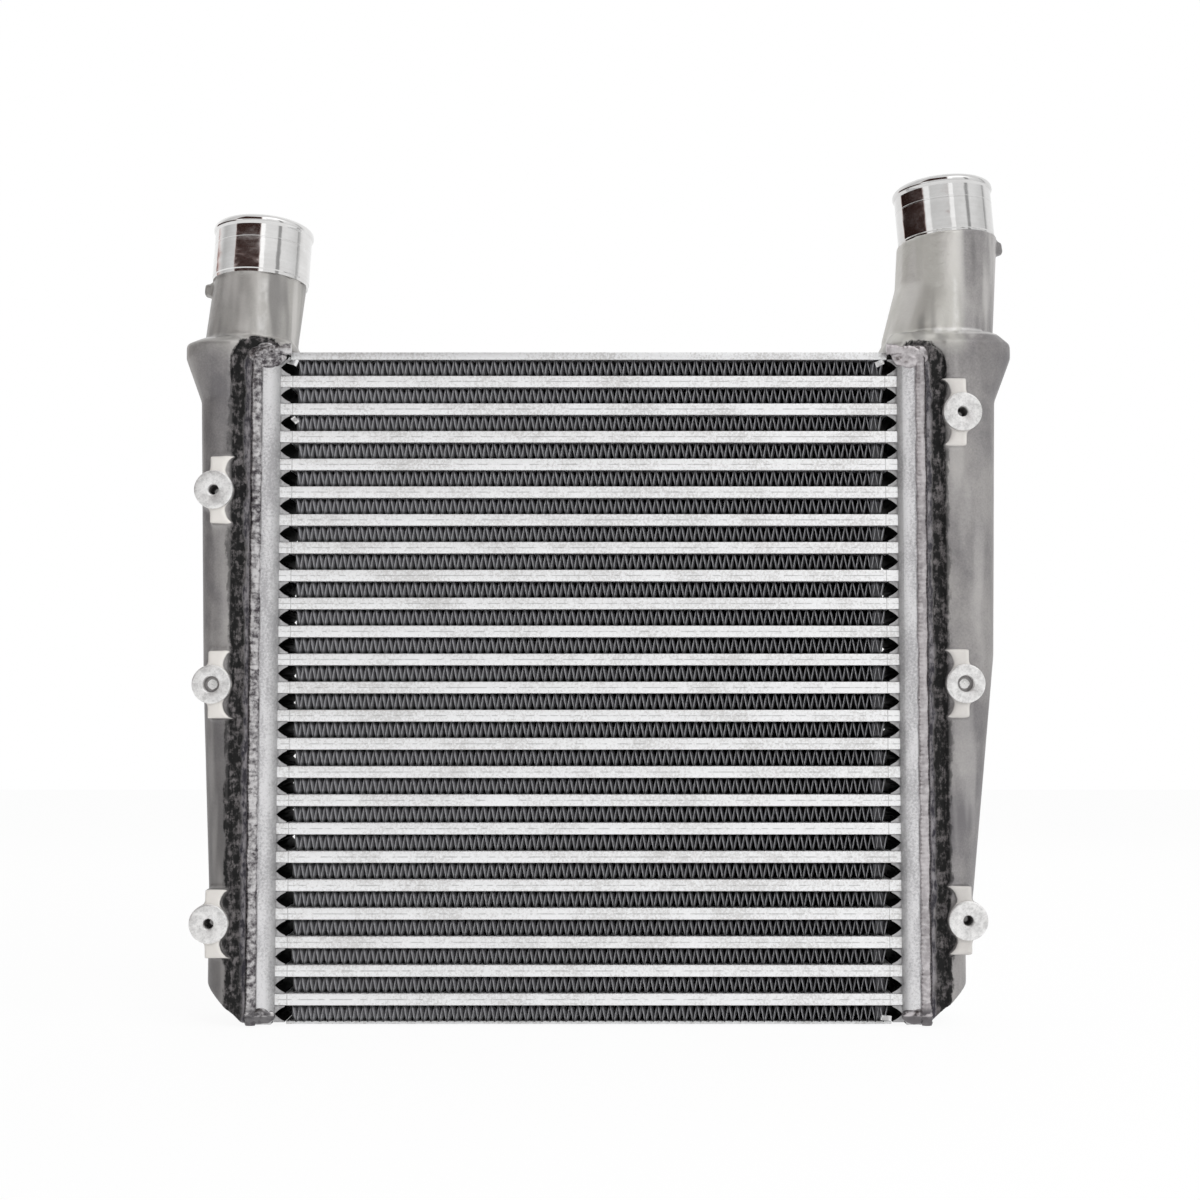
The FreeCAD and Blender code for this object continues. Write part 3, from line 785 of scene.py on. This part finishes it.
def weld_bead(name, sign, face):
    # A fat rippled bead drawn along the seam and over the header plate to the core.
    half_width = 0.0029
    flatness = 0.62
    step = 0.00095
    most_steps = 900
    corner = header_top - 0.0065
    corner_radius = 0.0075
    inner_end = 0.184
    here = Vector((sign * bead_line, face * (header_half + 0.0003), 0.0006))
    clear_selection()
    bpy.ops.mesh.primitive_circle_add(vertices=10, radius=half_width, fill_type="NGON", location=here)
    piece = bpy.context.object
    piece.name = name
    settle(piece)
    start_edit(piece)
    bpy.ops.mesh.select_all(action="SELECT")
    bpy.ops.transform.resize(value=(1, flatness, 1), center_override=(0, here.y, 0))
    heading = math.pi / 2
    swell = 1.0
    i = 0
    while abs(here.x) > inner_end and i < most_steps:
        turning = 0.0
        if here.z > corner and heading < math.pi - 0.01:
            turning = min(step / corner_radius, math.pi - heading)
        heading += turning
        move = Vector((sign * math.cos(heading) * step, 0, math.sin(heading) * step))
        bpy.ops.mesh.extrude_region_move(TRANSFORM_OT_translate={"value": move})
        here = here + move
        if turning:
            bpy.ops.transform.rotate(value=sign * turning, orient_axis="Y", center_override=here)
        # The bead's girth follows three waves: the ripples and two slow ones of an unsteady hand.
        want = 1.12 + 0.10 * math.sin(i * 2.3) + 0.09 * math.sin(i * 0.31) + 0.06 * math.sin(i * 0.127 + 1)
        factor = want / swell
        bpy.ops.transform.resize(value=(factor, factor, factor), center_override=here)
        swell = want
        i += 1
    bpy.ops.mesh.select_all(action="SELECT")
    bpy.ops.mesh.normals_make_consistent(inside=False)
    end_edit()
    smooth(piece, 50)
    return piece


def weld_puddle(name, centre, half, narrow, lumps):
    # A broad puddle of weld; its end over the core is lower than the end over the tank.
    centre, half = Vector(centre), Vector(half)
    piece = block(name, centre - half, centre + half)
    start_edit(piece)
    pick_faces(piece, lambda middle, normal: abs(middle.x) < abs(centre.x) - half.x * 0.9)
    bpy.ops.transform.resize(value=(1, 0.8, narrow), center_override=(0, centre.y, centre.z))
    end_edit()
    finish_with(piece, "SUBSURF", levels=5, render_levels=5)
    finish_with(piece, "DISPLACE", texture=lumps, strength=0.0019, mid_level=0.55)
    finish_with(piece, "SMOOTH", factor=0.5, iterations=5)
    smooth(piece, 180)
    return piece


def header_copy(side):
    # The header plate with the bends of its flanges rounded.
    bends = (0.1905, 0.1934)
    bend_radius = 0.0019
    flange = 0.0322
    piece = cad_copy(side + "_header_plate", side + "_header_sheet")
    start_edit(piece)
    bpy.ops.mesh.select_all(action="SELECT")
    bpy.ops.mesh.dissolve_limited(angle_limit=math.radians(0.5))
    pick_edges(piece, lambda a, b: abs(abs(a.x) - abs(b.x)) < 1e-5
               and min(abs(abs(a.x) - bend) for bend in bends) < 2e-5
               and max(abs(a.y), abs(b.y)) > flange)
    bpy.ops.mesh.bevel(offset=bend_radius, segments=4, affect="EDGES", clamp_overlap=True)
    # The bevel leaves slivers, and merging their near corners closes the sheet again.
    bpy.ops.mesh.select_all(action="SELECT")
    bpy.ops.mesh.remove_doubles(threshold=4e-5)
    end_edit()
    smooth(piece, 40)
    return piece


def plate_copy(node, name):
    # A side plate with the sharpness taken off its edges.
    piece = cad_copy(node, name)
    start_edit(piece)
    bpy.ops.mesh.select_all(action="SELECT")
    bpy.ops.mesh.dissolve_limited(angle_limit=math.radians(0.5))
    bpy.ops.mesh.select_all(action="SELECT")
    bpy.ops.mesh.bevel(offset=0.0003, segments=2, affect="EDGES")
    end_edit()
    smooth(piece, 40)
    return piece


# Camera, lights and surroundings

def light_tent(scene):
    # A pale tent laid out in degrees round the object and up from the ground, plain white to the camera.
    world = bpy.data.worlds.new("studio")
    scene.world = world
    world.use_nodes = True
    tree = world.node_tree
    here = Value(tree)
    looking = here.add("ShaderNodeTexCoord", {}, {}, "Generated")
    x = looking.axis("X")
    y = looking.axis("Y")
    z = looking.axis("Z")
    front = (0 - y).above(-0.6, 0.7)
    top = z.above(0.0, 0.8)
    below = (0 - z).above(0.0, 0.6)
    azimuth = here.sum("ARCTAN2", x, 0 - y) * (180 / math.pi)
    rise = here.sum("ARCSINE", z) * (180 / math.pi)
    softbox = azimuth.between(10, 70, 14) * rise.between(40, 70, 10)
    glint = azimuth.between(4, 15, 1) * rise.between(19, 60, 2)
    glint = glint + azimuth.between(-56, -42, 2) * rise.between(8, 20, 2)
    level = 0.50 + front * 0.30 + top * 0.20 - below * 0.15 + x * 0.10 + softbox * 0.7 + glint * 0.4
    behind = y.above(0.05, 0.5)
    # What a polished spigot mirrors: a dark doorway to the left of the camera, and dark edges beside it.
    high = azimuth.between(-60, 3, 1.5) * rise.between(22.3, 62, 0.8)
    low = azimuth.between(-126, -58, 2) * rise.between(4, 17.5, 1.5)
    dark = high.sum("MAXIMUM", high, low)
    edges = (azimuth.between(100, 109, 1.5) + azimuth.between(45, 54, 2)) * rise.between(8, 40, 2)
    level = level * (1 - edges * 0.6)
    seen = here.add("ShaderNodeLightPath", {}, {}, "Is Camera Ray")
    mirrored = here.add("ShaderNodeLightPath", {}, {}, "Is Glossy Ray")
    passed = here.add("ShaderNodeLightPath", {}, {}, "Is Transmission Ray")
    backdrop = seen + (mirrored + passed) * behind * (1 - dark)
    strength = level * (1 - dark * 0.95) * (1 - backdrop) + backdrop
    warm = (dark * (1 - seen)).tint((1, 1, 1, 1), (1.0, 0.52, 0.44, 1))
    back = tree.nodes["Background"]
    tree.links.new(warm.socket, back.inputs["Color"])
    tree.links.new(strength.socket, back.inputs["Strength"])


def photo_camera(scene):
    camera_data = bpy.data.cameras.new("camera")
    camera = bpy.data.objects.new("camera", camera_data)
    scene.collection.objects.link(camera)
    camera.location = (0.00695, -1.2328, 0.1851)
    camera.rotation_euler = (math.radians(93.5), 0, 0)
    camera_data.sensor_width = 36
    camera_data.lens = 58.74
    scene.camera = camera


def hang_lamps(scene):
    # Soft round lamps, turned to the middle of the object: place, size in metres and power in watts.
    lamps = [
        ("key", (0.50, -1.45, 1.20), 0.6, 9.0),
        ("fill", (1.4, -0.9, 0.6), 1.0, 5.0),
        ("rim", (0.2, 1.4, 1.3), 1.2, 5.0),
    ]
    middle = Vector((0, 0, 0.25))
    for name, place, size, power in lamps:
        data = bpy.data.lights.new(name, "AREA")
        data.shape = "DISK"
        data.size = size
        data.energy = power
        lamp = bpy.data.objects.new(name, data)
        lamp.visible_glossy = False
        scene.collection.objects.link(lamp)
        lamp.location = place
        aim = middle - Vector(place)
        lamp.rotation_euler = aim.to_track_quat("-Z", "Y").to_euler()


def lay_floor():
    floor_height = -0.0004
    clear_selection()
    bpy.ops.mesh.primitive_plane_add(size=8, location=(0, 0, floor_height))
    floor = bpy.context.object
    floor.name = "floor"
    settle(floor)
    floor.data.materials.append(floor_finish())


def surroundings():
    scene = bpy.context.scene
    scene.view_settings.view_transform = "Standard"
    light_tent(scene)
    photo_camera(scene)
    hang_lamps(scene)
    lay_floor()


# Putting the object together

def lay_tubes():
    tube_metal = tube_finish()
    first_tube = rounded_tube("tube_bar_01")
    for i in range(tube_count):
        piece = first_tube if i == 0 else copied(first_tube, "tube_bar_%02d" % (i + 1))
        if i:
            moved(piece, (0, 0, i * tube_pitch))
        dress(piece, tube_metal, "tube_%02d" % (i + 1))


def lay_fins(fin_metal, plate_metal):
    # A strip over, under and between the tubes, no two of them starting at quite the same place.
    slip = 0.0007
    first_fin = folded_fin("fin_fold_01")
    ends = []
    for sign, tag in ((-1, "left"), (1, "right")):
        for face, where in ((-1, "front"), (1, "back")):
            ends.append(pressed_end("fin_end_%s_%s" % (tag, where), sign, face))
    clear_selection()
    for piece in ends + [first_fin]:
        piece.select_set(True)
    bpy.context.view_layer.objects.active = first_fin
    bpy.ops.object.join()
    fins = [first_fin]
    for i in range(tube_count):
        fins.append(copied(first_fin, "fin_fold_%02d" % (i + 2)))
    for i, piece in enumerate(fins):
        moved(piece, (slip * math.sin(i * 2.3), 0, i * tube_pitch))
        dress(piece, fin_metal, "fin_%02d" % (i + 1))
    for i, (place, size, turn) in enumerate(curls):
        piece = curled_end("fin_curl_%d" % (i + 1), place, size, turn)
        dress(piece, plate_metal)


def core():
    plate_metal = plate_finish()
    header_metal = header_finish()
    fin_metal = fin_finish()
    lay_tubes()
    lay_fins(fin_metal, plate_metal)
    for node, name in (("top_side_plate", "top_plate"), ("bottom_side_plate", "bottom_plate")):
        dress(plate_copy(node, name), plate_metal, node)
    for side in ("left", "right"):
        dress(header_copy(side), header_metal, side + "_header_plate")
    # The strips inside the tubes are shown as the solids have them.
    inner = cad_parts["tube_turbulators"]
    inner.data.materials.clear()
    inner.data.materials.append(fin_metal)


def tank(side, sign, faced):
    # The casting, the spigot with its turning lines laid round its own axis, and the faced bosses.
    dress(cast_tank(side), cast_finish(side, **marks_and_painted_light[side]), side + "_tank")
    turn = spigot_axis(side).rotation_difference(Vector((0, 0, 1)))
    foot = turn @ (-spigot_feet[side])
    polished = polished_finish(side + "_polished", foot, turn.to_euler(), spigot_painted_level[side])
    dress(turned_spigot(side), polished)
    for i, (z, kind) in enumerate(boss_heights[side]):
        boss = turned_boss("%s_boss_%d" % (side, i + 1), sign * boss_line, z, kind)
        dress(boss, faced)


def weld_seams(side, sign, weld_metal, lumps):
    for face, tag in ((-1, "front"), (1, "back")):
        bead = weld_bead("%s_weld_%s" % (side, tag), sign, face)
        dress(bead, weld_metal, side + "_weld")
        for where, (x, z, half, narrow) in puddles.items():
            centre = (sign * x, face * puddle_line, z)
            puddle = weld_puddle("%s_%s_%s" % (side, where, tag), centre, half, narrow, lumps)
            dress(puddle, weld_metal)


def tanks():
    faced = turned_finish()
    weld_metal = weld_finish()
    lumps = bpy.data.textures.new("weld_lumps", "CLOUDS")
    lumps.noise_scale = 0.0048
    lumps.noise_depth = 0
    for side, sign in (("left", -1), ("right", 1)):
        tank(side, sign, faced)
        weld_seams(side, sign, weld_metal, lumps)


surroundings()
core()
tanks()
